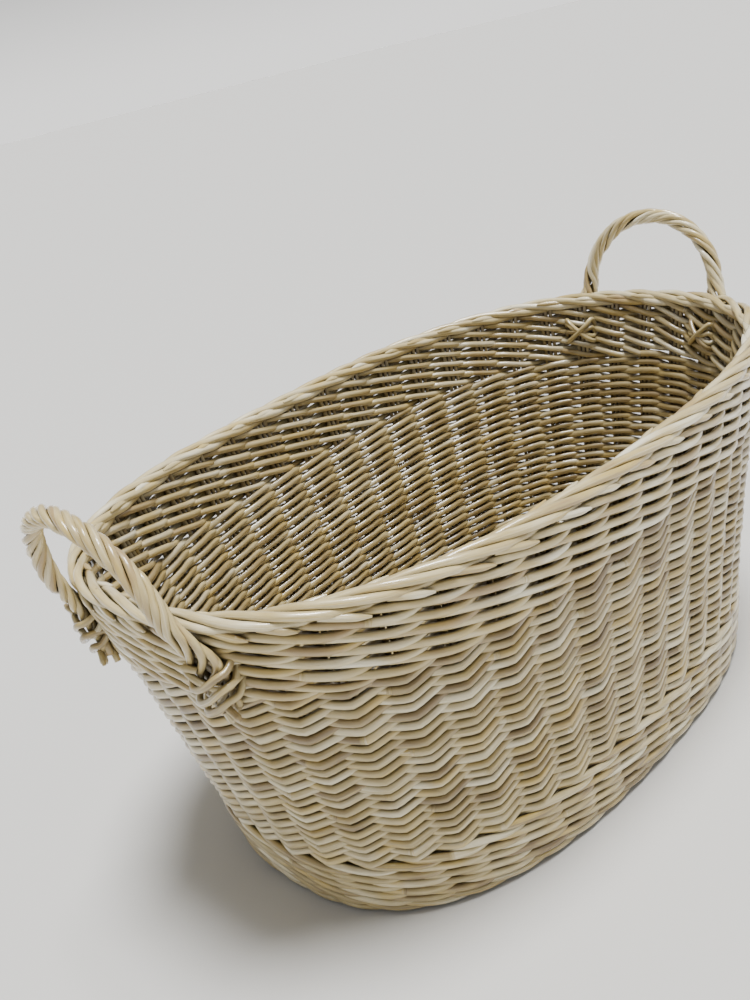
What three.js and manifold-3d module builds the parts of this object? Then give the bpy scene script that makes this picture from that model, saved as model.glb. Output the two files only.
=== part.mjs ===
// Oval woven willow laundry basket with two rope handles.
// Millimetres, +Z up. The long axis lies on X. The origin is on the floor under the middle.
import * as THREE from "three";
import { mergeVertices } from "three/addons/utils/BufferGeometryUtils.js";
import { ParametricGeometry } from "three/addons/geometries/ParametricGeometry.js";
import Module from "manifold-3d";

// Overall sizes, over the outside of the rods.
const RIM_LENGTH = 656;
const RIM_WIDTH = 420;
const FOOT_LENGTH = 530;
const FOOT_WIDTH = 344;
const RIM_HEIGHT = 295;

// How round the oval is (2 is an ellipse), and how late the long sides flare.
const OVAL_POWER = 2.55;
const SIDE_FLARE_POWER = 1.4;

// The bands of the wall, from the floor up.
const FOOT_BAND_HEIGHT = 56;
const TOP_WALE_HEIGHT = 52;
const BORDER_HEIGHT = 15;
const FOOT_BAND_THICKNESS = 16;
const SIDING_THICKNESS = 11;
const TOP_WALE_THICKNESS = 16;
const BORDER_THICKNESS = 18;
const BORDER_CHAMFER = 4;
const SIDING_STEPS = 2;

// The upright stakes: flat groups of rods that turn up out of the base.
const STAKE_COUNT = 44;
const STAKE_WIDTH = 10;
const STAKE_THICKNESS = 4;
const STAKE_TAIL = 36;
const STAKE_TOP_COVER = 6;
const END_CLOSENESS = 0.06;

// The base: a woven plate on a frame of sticks.
const BASE_HEIGHT = 8;
const BASE_THICKNESS = 12;
const STICK_WIDTH = 7;
const STICK_THICKNESS = 6;
const CROSS_STICK_PAIRS = 3;
const LONG_STICK_SPACE = 3;

// The handles and the lashings that tie their legs to the top waling.
const HANDLE_STAKE = 2;
const HANDLE_NARROWING = 8;
const HANDLE_DIAMETER = 15;
const HANDLE_RISE = 77;
const HANDLE_LEAN_DEGREES = 10.5;
const HANDLE_LEG_DROP = 76;
const HANDLE_SIDES = 8;
const HANDLE_STEPS = 26;
const TIE_HEIGHT = 24;
const TIE_ROD = 5;
const TIE_DROP = 25;
const TIE_SLACK = 1.5;

// The gap between pieces that touch.
const GAP = 0.3;

const UP = new THREE.Vector3(0, 0, 1);

const wasm = await Module();
wasm.setup();

// --- the oval wall ---------------------------------------------------------------

const signedPower = (value, power) => Math.sign(value) * Math.abs(value) ** power;

// Half length and half width of the wall's middle surface at height z.
function halfSizes(z) {
  const share = z / RIM_HEIGHT;
  const topLength = (RIM_LENGTH - BORDER_THICKNESS) / 2;
  const topWidth = (RIM_WIDTH - BORDER_THICKNESS) / 2;
  const footLength = (FOOT_LENGTH - FOOT_BAND_THICKNESS) / 2;
  const footWidth = (FOOT_WIDTH - FOOT_BAND_THICKNESS) / 2;
  const length = footLength + (topLength - footLength) * share;
  const width = footWidth + (topWidth - footWidth) * share ** SIDE_FLARE_POWER;
  return [length, width];
}

function ovalPoint(angle, z) {
  const [length, width] = halfSizes(z);
  const x = length * signedPower(Math.cos(angle), 2 / OVAL_POWER);
  const y = width * signedPower(Math.sin(angle), 2 / OVAL_POWER);
  return new THREE.Vector3(x, y, z);
}

// The oval's angle at each gap between two stakes. The gaps are even along the wall, only a little
// closer at the ends of the basket. Gap 0 comes just after stake 0, which is in the middle of the
// +X end.
function gapAngles() {
  const samples = 7200;
  const middle = RIM_HEIGHT / 2;
  const lengths = [0];
  for (let i = 1; i <= samples; i += 1) {
    const before = ovalPoint(((i - 1) / samples) * 2 * Math.PI, middle);
    const here = ovalPoint((i / samples) * 2 * Math.PI, middle);
    lengths.push(lengths[i - 1] + here.distanceTo(before));
  }
  const total = lengths[samples];
  const angles = [];
  let sample = 0;
  for (let gap = 0; gap < STAKE_COUNT; gap += 1) {
    const turn = (gap + 0.5) / STAKE_COUNT;
    const along = total * (turn - (END_CLOSENESS * Math.sin(4 * Math.PI * turn)) / (4 * Math.PI));
    while (lengths[sample + 1] < along) sample += 1;
    const part = (along - lengths[sample]) / (lengths[sample + 1] - lengths[sample]);
    angles.push(((sample + part) / samples) * 2 * Math.PI);
  }
  return angles;
}

const GAP_ANGLES = gapAngles();
const wrap = (index) => ((index % STAKE_COUNT) + STAKE_COUNT) % STAKE_COUNT;

// A point of the wall at a gap between stakes: its height, and how far out from the middle surface.
function gapPoint(gap, z, offset) {
  const angle = GAP_ANGLES[wrap(gap)];
  const step = 0.002;
  const side = ovalPoint(angle + step, RIM_HEIGHT / 2).sub(ovalPoint(angle - step, RIM_HEIGHT / 2));
  const out = side.normalize().cross(UP);
  return ovalPoint(angle, z).addScaledVector(out, offset);
}

// The wall is flat from gap to gap, and each stake stands in the middle of its own flat.
function stakeFrame(stake) {
  const side = gapPoint(stake, RIM_HEIGHT / 2, 0).sub(gapPoint(stake - 1, RIM_HEIGHT / 2, 0)).normalize();
  const out = side.clone().cross(UP);
  return { side, out };
}

function stakePoint(stake, z, offset) {
  const middle = gapPoint(stake - 1, z, 0).lerp(gapPoint(stake, z, 0), 0.5);
  return middle.addScaledVector(stakeFrame(stake).out, offset);
}

// --- solids ----------------------------------------------------------------------

function bare(geometry) {
  geometry.deleteAttribute("normal");
  geometry.deleteAttribute("uv");
  return mergeVertices(geometry, 1e-4);
}

function solid(geometry) {
  const merged = bare(geometry);
  const vertProperties = new Float32Array(merged.attributes.position.array);
  const triVerts = new Uint32Array(merged.index.array);
  return new wasm.Manifold(new wasm.Mesh({ numProp: 3, vertProperties, triVerts }));
}

function geometryOf(body) {
  const { vertProperties, triVerts } = body.getMesh();
  const geometry = new THREE.BufferGeometry();
  geometry.setAttribute("position", new THREE.BufferAttribute(vertProperties, 3));
  geometry.setIndex(new THREE.BufferAttribute(triVerts, 1));
  geometry.computeVertexNormals();
  return geometry;
}

// A closed ring round the oval. The section lists [offset, height] corners, counted so that the
// outside of the basket comes first and the top follows.
function ringSolid(section) {
  const corner = (u, v, target) => {
    const [offset, z] = section[Math.round(v * section.length) % section.length];
    target.copy(gapPoint(Math.round(u * STAKE_COUNT), z, offset));
  };
  return solid(new ParametricGeometry(corner, STAKE_COUNT, section.length));
}

// A square-cornered band of the wall between two heights, in level steps.
function bandSection(bottom, top, thickness, steps) {
  const section = [];
  for (let i = 0; i <= steps; i += 1) section.push([thickness / 2, bottom + ((top - bottom) * i) / steps]);
  for (let i = steps; i >= 0; i -= 1) section.push([-thickness / 2, bottom + ((top - bottom) * i) / steps]);
  return section;
}

// A solid through a row of four-cornered sections, closed at both ends. The corners of each
// section run clockwise as seen along the row.
function loftSolid(sections) {
  const corners = sections.flat();
  const index = [];
  for (let i = 0; i + 1 < sections.length; i += 1) {
    for (let k = 0; k < 4; k += 1) {
      const a = 4 * i + k;
      const b = 4 * i + ((k + 1) % 4);
      index.push(a, b + 4, b, a, a + 4, b + 4);
    }
  }
  const last = 4 * (sections.length - 1);
  index.push(0, 1, 2, 0, 2, 3, last, last + 2, last + 1, last, last + 3, last + 2);
  const geometry = new THREE.BufferGeometry().setFromPoints(corners);
  geometry.setIndex(index);
  return solid(geometry);
}

// --- the bands' heights ----------------------------------------------------------

const BORDER_BOTTOM = RIM_HEIGHT - BORDER_HEIGHT;
const WALE_BOTTOM = BORDER_BOTTOM - TOP_WALE_HEIGHT;
const STAKE_TOP = RIM_HEIGHT - STAKE_TOP_COVER;
const BASE_MIDDLE = BASE_HEIGHT + BASE_THICKNESS / 2;

// Heights at which the wall and the stakes bend.
function levelHeights() {
  const levels = [FOOT_BAND_HEIGHT];
  for (let i = 1; i < SIDING_STEPS; i += 1) {
    levels.push(FOOT_BAND_HEIGHT + ((WALE_BOTTOM - FOOT_BAND_HEIGHT) * i) / SIDING_STEPS);
  }
  levels.push(WALE_BOTTOM, BORDER_BOTTOM);
  return levels;
}

// --- stakes ----------------------------------------------------------------------

// One stake: its tail lies in the base and points in, then it turns up and follows the wall.
function stakeSolid(stake, extra, topHeight) {
  const { side, out } = stakeFrame(stake);
  const halfWidth = STAKE_WIDTH / 2 + extra;
  const half = STAKE_THICKNESS / 2 + extra;
  const section = (centre, across) => [
    centre.clone().addScaledVector(side, -halfWidth).addScaledVector(across, -half),
    centre.clone().addScaledVector(side, halfWidth).addScaledVector(across, -half),
    centre.clone().addScaledVector(side, halfWidth).addScaledVector(across, half),
    centre.clone().addScaledVector(side, -halfWidth).addScaledVector(across, half),
  ];
  const down = UP.clone().negate();
  const corner = stakePoint(stake, BASE_MIDDLE, 0);
  const tail = corner.clone().addScaledVector(out, -STAKE_TAIL - extra);
  const mitre = out.clone().add(down);
  const sections = [section(tail, down), section(corner, mitre)];
  for (const z of levelHeights()) sections.push(section(stakePoint(stake, z, 0), out));
  sections.push(section(stakePoint(stake, topHeight, 0), out));
  return loftSolid(sections);
}

// --- base ------------------------------------------------------------------------

// The oval of the base plate, just inside the foot band.
function baseShape() {
  const points = [];
  for (let gap = 0; gap < STAKE_COUNT; gap += 1) {
    const edge = gapPoint(gap, BASE_MIDDLE, -FOOT_BAND_THICKNESS / 2 - GAP - edgeLean());
    points.push(new THREE.Vector2(edge.x, edge.y));
  }
  return new THREE.Shape(points);
}

// How much further in the foot band stands at the bottom of the base plate than at its middle.
function edgeLean() {
  const [lowLength] = halfSizes(BASE_HEIGHT);
  const [midLength] = halfSizes(BASE_MIDDLE);
  return midLength - lowLength;
}

// A stick whose underside is level with the underside of the base.
function stickBox(length, alongX, x, y, extra) {
  const size = [length + 2 * extra, STICK_WIDTH + 2 * extra];
  if (!alongX) size.reverse();
  const box = new THREE.BoxGeometry(size[0], size[1], STICK_THICKNESS + 2 * extra);
  box.translate(x, y, BASE_HEIGHT + STICK_THICKNESS / 2);
  return solid(box);
}

// The sticks: two long ones side by side, through short ones that are split for them. They end
// just short of the stakes' tails.
function stickFrame(extra) {
  const cover = STAKE_TAIL + STICK_WIDTH;
  const [halfLength] = halfSizes(BASE_MIDDLE);
  const apart = (STICK_WIDTH + LONG_STICK_SPACE) / 2;
  let frame = stickBox(2 * (halfLength - cover), true, 0, apart, extra);
  frame = frame.add(stickBox(2 * (halfLength - cover), true, 0, -apart, extra));
  for (let pair = 0; pair < CROSS_STICK_PAIRS; pair += 1) {
    const end = gapPoint(STAKE_COUNT / 4 - 1 - 2 * pair, BASE_MIDDLE, -cover);
    for (const x of [end.x, -end.x]) frame = frame.add(stickBox(2 * end.y, false, x, 0, extra));
  }
  return frame;
}

// --- handles and ties ------------------------------------------------------------

// The legs clear whichever is thicker, the border or the waling under it.
const LEG_OFFSET = Math.max(BORDER_THICKNESS, TOP_WALE_THICKNESS) / 2 + GAP + HANDLE_DIAMETER / 2;

// The bow's middle line: up one leg outside the wall, over in half an oval, and down the other.
function handlePath(end) {
  const first = (end * STAKE_COUNT) / 2 - HANDLE_STAKE;
  const second = (end * STAKE_COUNT) / 2 + HANDLE_STAKE;
  const bottom = RIM_HEIGHT - HANDLE_LEG_DROP;
  const lean = THREE.MathUtils.degToRad(HANDLE_LEAN_DEGREES);
  const outward = end === 0 ? 1 : -1;
  const a = stakePoint(first, RIM_HEIGHT, LEG_OFFSET);
  const b = stakePoint(second, RIM_HEIGHT, LEG_OFFSET);
  a.addScaledVector(stakeFrame(first).side, HANDLE_NARROWING);
  b.addScaledVector(stakeFrame(second).side, -HANDLE_NARROWING);
  const centre = a.clone().lerp(b, 0.5);
  const across = a.clone().sub(centre);
  const rise = new THREE.Vector3(outward * Math.sin(lean), 0, Math.cos(lean));
  rise.multiplyScalar(HANDLE_RISE - HANDLE_DIAMETER / 2);
  const tieTop = RIM_HEIGHT - TIE_DROP;
  const legHeights = [bottom, (bottom + tieTop) / 2, tieTop];
  const points = legHeights.map((z) => stakePoint(first, z, LEG_OFFSET));
  const arcPoints = 12;
  for (let i = 0; i <= arcPoints; i += 1) {
    const angle = (Math.PI * i) / arcPoints;
    const point = centre.clone().addScaledVector(across, Math.cos(angle));
    points.push(point.addScaledVector(rise, Math.sin(angle)));
  }
  points.push(...legHeights.reverse().map((z) => stakePoint(second, z, LEG_OFFSET)));
  return new THREE.CatmullRomCurve3(points, false, "centripetal");
}

function handleSolid(end) {
  const circle = new THREE.Shape();
  for (let i = 0; i < HANDLE_SIDES; i += 1) {
    const angle = ((i + 0.5) / HANDLE_SIDES) * 2 * Math.PI;
    const x = (HANDLE_DIAMETER / 2) * Math.cos(angle);
    const y = (HANDLE_DIAMETER / 2) * Math.sin(angle);
    if (i === 0) circle.moveTo(x, y);
    else circle.lineTo(x, y);
  }
  const options = { steps: HANDLE_STEPS, bevelEnabled: false, extrudePath: handlePath(end) };
  return solid(new THREE.ExtrudeGeometry(circle, options));
}

// A lashing: a flat loop round the handle's leg and through the waling on both sides of a stake.
function tieLoop(stake, grow) {
  const { out, side } = stakeFrame(stake);
  const middle = RIM_HEIGHT - TIE_DROP - TIE_HEIGHT / 2;
  const lean = stakePoint(stake, middle + 1, 0).sub(stakePoint(stake, middle - 1, 0)).normalize();
  // A leaning leg is wider when it is cut level, so the loop stands off by that much.
  const legRadius = HANDLE_DIAMETER / 2;
  const legReach = Math.max(legRadius + GAP, legRadius / lean.z + GAP / 3);
  const outer = LEG_OFFSET + legReach + TIE_ROD + grow;
  const inner = TOP_WALE_THICKNESS / 2 + GAP + TIE_ROD + grow;
  const loopDepth = outer + inner;
  const holeDepth = loopDepth - 2 * TIE_ROD - 4 * grow;
  const holeWidth = HANDLE_DIAMETER + 2 * TIE_SLACK - 2 * grow;
  const loop = new THREE.BoxGeometry(holeWidth + 2 * TIE_ROD + 4 * grow, loopDepth, TIE_HEIGHT + 2 * grow);
  const hole = new THREE.BoxGeometry(holeWidth, holeDepth, TIE_HEIGHT * 2);
  const place = new THREE.Matrix4().makeBasis(side, out.clone().negate(), lean);
  place.setPosition(stakePoint(stake, middle, (outer - inner) / 2));
  loop.applyMatrix4(place);
  hole.applyMatrix4(place);
  return solid(loop).subtract(solid(hole));
}

// --- assembly --------------------------------------------------------------------

const basket = new THREE.Group();

function addPiece(name, body, color, roughness) {
  const material = new THREE.MeshStandardMaterial({ color, roughness, metalness: 0 });
  const mesh = new THREE.Mesh(geometryOf(body), material);
  mesh.name = name;
  basket.add(mesh);
}

const stakeNumber = (stake) => String(stake + 1).padStart(2, "0");

const channels = [];
for (let stake = 0; stake < STAKE_COUNT; stake += 1) {
  addPiece(`stake_${stakeNumber(stake)}`, stakeSolid(stake, 0, STAKE_TOP), "#b9a377", 0.6);
  channels.push(stakeSolid(stake, GAP, STAKE_TOP + GAP));
}
const allChannels = wasm.Manifold.union(channels);

const ties = [];
for (const middle of [0, STAKE_COUNT / 2]) {
  for (const side of [-HANDLE_STAKE, HANDLE_STAKE]) ties.push(middle + side);
}
const tieWindows = wasm.Manifold.union(ties.map((stake) => tieLoop(stake, GAP)));

const basePlate = new THREE.ExtrudeGeometry(baseShape(), { depth: BASE_THICKNESS, bevelEnabled: false });
basePlate.translate(0, 0, BASE_HEIGHT);
addPiece("base_weave", solid(basePlate).subtract(allChannels).subtract(stickFrame(GAP)), "#c4b48c", 0.6);
addPiece("base_sticks", stickFrame(0), "#b39a6c", 0.6);

const footSection = bandSection(0, FOOT_BAND_HEIGHT - GAP, FOOT_BAND_THICKNESS, 1);
addPiece("foot_wale", ringSolid(footSection).subtract(allChannels), "#cfc09a", 0.5);

const sidingSection = bandSection(FOOT_BAND_HEIGHT, WALE_BOTTOM - GAP, SIDING_THICKNESS, SIDING_STEPS);
addPiece("siding_weave", ringSolid(sidingSection).subtract(allChannels), "#cabb95", 0.5);

const waleSection = bandSection(WALE_BOTTOM, BORDER_BOTTOM - GAP, TOP_WALE_THICKNESS, 1);
const topWale = ringSolid(waleSection).subtract(allChannels).subtract(tieWindows);
addPiece("top_wale", topWale, "#d6cbaa", 0.45);

const borderHalf = BORDER_THICKNESS / 2;
const borderSection = [
  [borderHalf, BORDER_BOTTOM],
  [borderHalf, RIM_HEIGHT - BORDER_CHAMFER],
  [borderHalf - BORDER_CHAMFER, RIM_HEIGHT],
  [BORDER_CHAMFER - borderHalf, RIM_HEIGHT],
  [-borderHalf, RIM_HEIGHT - BORDER_CHAMFER],
  [-borderHalf, BORDER_BOTTOM],
];
addPiece("rim_border", ringSolid(borderSection).subtract(allChannels), "#dcd3b6", 0.45);

for (const [end, side] of [[0, "right"], [1, "left"]]) {
  addPiece(`handle_${side}`, handleSolid(end), "#d8cca6", 0.45);
}
for (const [index, stake] of ties.entries()) {
  addPiece(`handle_tie_${index + 1}`, tieLoop(stake, 0), "#c9b98c", 0.5);
}

export default basket;
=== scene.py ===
"""Looks of an oval woven willow laundry basket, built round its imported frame."""
import math

import bpy
from mathutils import Matrix, Vector


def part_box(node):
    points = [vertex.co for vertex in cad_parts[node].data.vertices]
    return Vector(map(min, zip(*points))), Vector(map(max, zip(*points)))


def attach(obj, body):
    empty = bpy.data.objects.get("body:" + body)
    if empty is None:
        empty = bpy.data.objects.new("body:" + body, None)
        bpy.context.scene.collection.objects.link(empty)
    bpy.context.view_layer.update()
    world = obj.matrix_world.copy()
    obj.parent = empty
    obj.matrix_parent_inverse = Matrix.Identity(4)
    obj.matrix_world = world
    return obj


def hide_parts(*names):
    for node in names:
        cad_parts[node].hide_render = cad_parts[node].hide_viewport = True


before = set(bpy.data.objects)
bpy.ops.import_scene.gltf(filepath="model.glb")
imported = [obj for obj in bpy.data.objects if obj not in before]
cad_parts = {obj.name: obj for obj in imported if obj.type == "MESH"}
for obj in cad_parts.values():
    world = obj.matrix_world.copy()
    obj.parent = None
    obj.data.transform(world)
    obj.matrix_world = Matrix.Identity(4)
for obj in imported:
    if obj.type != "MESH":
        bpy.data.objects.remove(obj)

bl_info = {
    "name": "Willow Laundry Basket",
    "version": (1, 0, 0),
    "blender": (4, 5, 0),
    "location": "View3D > Sidebar > Basket",
    "description": "Weaves a willow laundry basket rod by rod round a CAD frame",
    "category": "Add Mesh",
}

BODY = "root"
TAU = 2 * math.pi
MM = 0.001
GEOMETRY = "NodeSocketGeometry"
MATERIAL = "NodeSocketMaterial"

# Heights and sizes that the frame gives.
BORDER_LOW, BORDER_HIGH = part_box("rim_border")
FOOT_LOW, FOOT_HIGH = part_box("foot_wale")
WALE_LOW, WALE_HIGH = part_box("top_wale")
BASE_LOW, BASE_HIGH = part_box("base_weave")
STAKES = sorted(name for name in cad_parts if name.startswith("stake_"))
STAKE_COUNT = len(STAKES)
BAND_THICKNESS = 16 * MM
BORDER_THICKNESS = 18 * MM
OVAL_POWER = 2.55
SIDE_FLARE = 1.4
END_CLOSENESS = 0.06
HANDLE_STAKE = 2
OVAL_SAMPLES = 3600

# The willow's pattern runs on along a rod by this much at each stake, and starts this much later on the next rod.
STAKE_PITCH = 0.039
ROD_SHIFT = 3.1

# The radius of one rod, as a share of the handle's thickness and of the foot border's height.
HANDLE_ROD_SHARE = 0.178
FOOT_ROD_SHARE = 0.29

# How far out of the wall's middle a handle's leg lies above its lower end, in metres and millimetres, and how far
# out and inwards of the leg the bow starts at the rim, in millimetres.
LEG_OFFSETS = ((0.0, 13), (0.025, 13.2), (0.05, 13.6))
BOW_FOOT_OUT = 16.8
BOW_FOOT_IN = 8

# The studio, in metres.
FLOOR_HALF = 60.0
KEY_PLACE = (0.8, -1.5, 12.0)
FILL_PLACE = (1.3, -1.7, 1.5)
LIGHT_AIM = (0, 0, 0.15)
CAMERA_PLACE = (-0.56941, -0.58014, 0.57801)
CAMERA_RIGHT = (0.68713, -0.69168, -0.22234)
CAMERA_DOWN = (-0.43028, -0.14082, -0.89165)
CAMERA_FORWARD = (0.58542, 0.70834, -0.39437)

# Half sizes of the wall's middle surface at the floor and at the rim.
RIM_HEIGHT = BORDER_HIGH.z
RIM_HALF_LENGTH = BORDER_HIGH.x - BORDER_THICKNESS / 2
RIM_HALF_WIDTH = BORDER_HIGH.y - BORDER_THICKNESS / 2
FOOT_SHARE = FOOT_HIGH.z / RIM_HEIGHT
FOOT_HALF_LENGTH = (FOOT_HIGH.x - BAND_THICKNESS / 2 - RIM_HALF_LENGTH * FOOT_SHARE) / (1 - FOOT_SHARE)
FLARED_SHARE = FOOT_SHARE ** SIDE_FLARE
FOOT_HALF_WIDTH = (FOOT_HIGH.y - BAND_THICKNESS / 2 - RIM_HALF_WIDTH * FLARED_SHARE) / (1 - FLARED_SHARE)


# --- small tools -----------------------------------------------------------------

def linear(hex_colour):
    """An sRGB hex colour as linear RGBA."""
    channels = [int(hex_colour[i:i + 2], 16) / 255 for i in (1, 3, 5)]
    return [c / 12.92 if c <= 0.04045 else ((c + 0.055) / 1.055) ** 2.4 for c in channels] + [1.0]


def add_node(tree, kind, settings=None, inputs=None):
    """Adds a node, sets its options, and links or sets its inputs, given by name or number."""
    node = tree.nodes.new(kind)
    for name, value in (settings or {}).items():
        setattr(node, name, value)
    for key, value in (inputs or {}).items():
        value = getattr(value, "socket", value)
        if isinstance(key, str):
            socket = next(s for s in node.inputs if s.name == key and s.enabled)
        else:
            socket = node.inputs[key]
        if isinstance(value, bpy.types.NodeSocket):
            tree.links.new(value, socket)
        else:
            socket.default_value = value
    return node


class Number:
    """A number in a node tree that takes part in ordinary arithmetic."""

    def __init__(self, tree, socket):
        self.tree = tree
        self.socket = socket

    def math(self, operation, other=0.0, swapped=False):
        """Joins this number and another with one math operation."""
        pair = (other, self) if swapped else (self, other)
        node = add_node(self.tree, "ShaderNodeMath", {"operation": operation}, {0: pair[0], 1: pair[1]})
        return Number(self.tree, node.outputs[0])

    def __add__(self, other):
        return self.math("ADD", other)

    def __radd__(self, other):
        return self.math("ADD", other)

    def __sub__(self, other):
        return self.math("SUBTRACT", other)

    def __rsub__(self, other):
        return self.math("SUBTRACT", other, True)

    def __mul__(self, other):
        return self.math("MULTIPLY", other)

    def __rmul__(self, other):
        return self.math("MULTIPLY", other)

    def __truediv__(self, other):
        return self.math("DIVIDE", other)

    def __rtruediv__(self, other):
        return self.math("DIVIDE", other, True)

    def __pow__(self, other):
        return self.math("POWER", other)

    def __mod__(self, other):
        return self.math("FLOORED_MODULO", other)


def new_tree(name, inputs, output=("Geometry", GEOMETRY)):
    """An empty node group and its inputs; each input has a default number, or a kind of socket."""
    tree = bpy.data.node_groups.new(name, "GeometryNodeTree")
    kinds = {float: "NodeSocketFloat", int: "NodeSocketInt"}
    for label, default in inputs.items():
        kind = kinds.get(type(default), default)
        socket = tree.interface.new_socket(label, in_out="INPUT", socket_type=kind)
        if type(default) in kinds:
            socket.default_value = default
    tree.interface.new_socket(output[0], in_out="OUTPUT", socket_type=output[1])
    source = tree.nodes.new("NodeGroupInput")
    given = {}
    for label, default in inputs.items():
        socket = source.outputs[label]
        given[label] = Number(tree, socket) if type(default) in kinds else socket
    return tree, given


def vector(tree, x, y, z):
    """A vector from three numbers."""
    return add_node(tree, "ShaderNodeCombineXYZ", inputs={0: x, 1: y, 2: z}).outputs[0]


def vector_math(tree, operation, a, b, scale=1.0):
    """Two vectors joined by one operation."""
    inputs = {0: a, 3: scale} if operation == "SCALE" else {0: a, 1: b}
    return add_node(tree, "ShaderNodeVectorMath", {"operation": operation}, inputs).outputs[0]


def noise_about_zero(tree, place, seed, scale, detail=1.0):
    """Smooth noise from about -1 to 1."""
    settings = {"noise_dimensions": "4D"}
    inputs = {"Vector": place, "W": seed, "Scale": scale, "Detail": detail}
    return Number(tree, add_node(tree, "ShaderNodeTexNoise", settings, inputs).outputs[0]) * 2.0 - 1.0


# --- the wall, as one node group and as plain functions --------------------------

WALL_SIZES = {
    "Rim Half Length": RIM_HALF_LENGTH,
    "Rim Half Width": RIM_HALF_WIDTH,
    "Foot Half Length": FOOT_HALF_LENGTH,
    "Foot Half Width": FOOT_HALF_WIDTH,
    "Rim Height": RIM_HEIGHT,
    "Oval Power": OVAL_POWER,
    "Side Flare": SIDE_FLARE,
    "Stake Count": STAKE_COUNT,
    "End Closeness": END_CLOSENESS,
    "Wander": 0.1,
    "Wave": 1.2 * MM,
}


def oval_nodes(tree, given, angle, height):
    """The x and y of the oval wall at an angle and a height."""
    share = (height / given["Rim Height"]).math("MAXIMUM", 0.0)
    length = given["Foot Half Length"] + (given["Rim Half Length"] - given["Foot Half Length"]) * share
    flared = share ** given["Side Flare"]
    width = given["Foot Half Width"] + (given["Rim Half Width"] - given["Foot Half Width"]) * flared
    power = 2.0 / given["Oval Power"]
    cosine = angle.math("COSINE")
    sine = angle.math("SINE")
    x = length * cosine.math("SIGN") * cosine.math("ABSOLUTE") ** power
    y = width * sine.math("SIGN") * sine.math("ABSOLUTE") ** power
    return x, y


def make_wall_group():
    """The wall as a map: a place counted in stakes, a height and an offset give a point."""
    own = {"Stake": 0.0, "Height": 0.0, "Offset": 0.0}
    tree, given = new_tree("Oval wall", {**own, **WALL_SIZES}, ("Position", "NodeSocketVector"))
    line = add_node(tree, "GeometryNodeCurvePrimitiveLine")
    fine = add_node(tree, "GeometryNodeResampleCurve", inputs={"Curve": line.outputs[0], "Count": 1081})
    angle = Number(tree, add_node(tree, "GeometryNodeSplineParameter").outputs["Factor"]) * TAU
    x, y = oval_nodes(tree, given, angle, given["Rim Height"] * 0.5)
    kept = add_node(tree, "GeometryNodeStoreNamedAttribute", {"data_type": "FLOAT"},
                    {"Geometry": fine.outputs[0], "Name": "oval_angle", "Value": angle})
    oval = add_node(tree, "GeometryNodeSetPosition",
                    inputs={"Geometry": kept.outputs[0], "Position": vector(tree, x, y, 0.0)})
    # Stakes stand a little off their even places, and the rows rise and fall a little, more towards the rim.
    turn = given["Stake"] / given["Stake Count"]
    height = given["Height"]
    place = vector(tree, (turn * TAU).math("COSINE"), (turn * TAU).math("SINE"), height * 6.0)
    share = (height / given["Rim Height"]).math("MINIMUM", 1.0)
    wander = noise_about_zero(tree, place, 3.7, 2.6) * given["Wander"]
    wave = noise_about_zero(tree, place, 8.1, 1.7) * given["Wave"] * share
    turn = ((given["Stake"] + wander) / given["Stake Count"]) % 1.0
    along = turn - given["End Closeness"] * (turn * (2 * TAU)).math("SINE") / (2 * TAU)
    stored = add_node(tree, "GeometryNodeInputNamedAttribute", {"data_type": "FLOAT"}, {"Name": "oval_angle"})
    sample = add_node(tree, "GeometryNodeSampleCurve", {"mode": "FACTOR", "data_type": "FLOAT"},
                      {"Curves": oval.outputs[0], "Value": stored.outputs[0], "Factor": along})
    side = vector_math(tree, "NORMALIZE", sample.outputs["Tangent"], (0, 0, 0))
    out = vector_math(tree, "CROSS_PRODUCT", side, (0, 0, 1))
    x, y = oval_nodes(tree, given, Number(tree, sample.outputs[0]), height)
    middle = vector(tree, x, y, height + wave)
    pushed = vector_math(tree, "SCALE", out, None, given["Offset"])
    add_node(tree, "NodeGroupOutput", inputs={"Position": vector_math(tree, "ADD", middle, pushed)})


def wall_place(tree, given, stake, height, offset):
    """Uses the wall group: its point at a place counted in stakes, a height and an offset."""
    inputs = {"Stake": stake, "Height": height, "Offset": offset, **{label: given[label] for label in WALL_SIZES}}
    return add_node(tree, "GeometryNodeGroup", {"node_tree": bpy.data.node_groups["Oval wall"]}, inputs).outputs[0]


def oval_point(angle, height):
    """The same oval as oval_nodes, for the pieces whose paths are given point by point."""
    share = max(height / RIM_HEIGHT, 0.0)
    length = FOOT_HALF_LENGTH + (RIM_HALF_LENGTH - FOOT_HALF_LENGTH) * share
    width = FOOT_HALF_WIDTH + (RIM_HALF_WIDTH - FOOT_HALF_WIDTH) * share ** SIDE_FLARE
    power = 2 / OVAL_POWER
    x = length * math.copysign(abs(math.cos(angle)) ** power, math.cos(angle))
    y = width * math.copysign(abs(math.sin(angle)) ** power, math.sin(angle))
    return Vector((x, y, height))


def measure_oval():
    """How far along the oval each of many even angles lies."""
    points = [oval_point(TAU * i / OVAL_SAMPLES, RIM_HEIGHT / 2) for i in range(OVAL_SAMPLES + 1)]
    lengths = [0.0]
    for before, after in zip(points, points[1:]):
        lengths.append(lengths[-1] + (after - before).length)
    return lengths


OVAL_LENGTHS = measure_oval()


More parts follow.
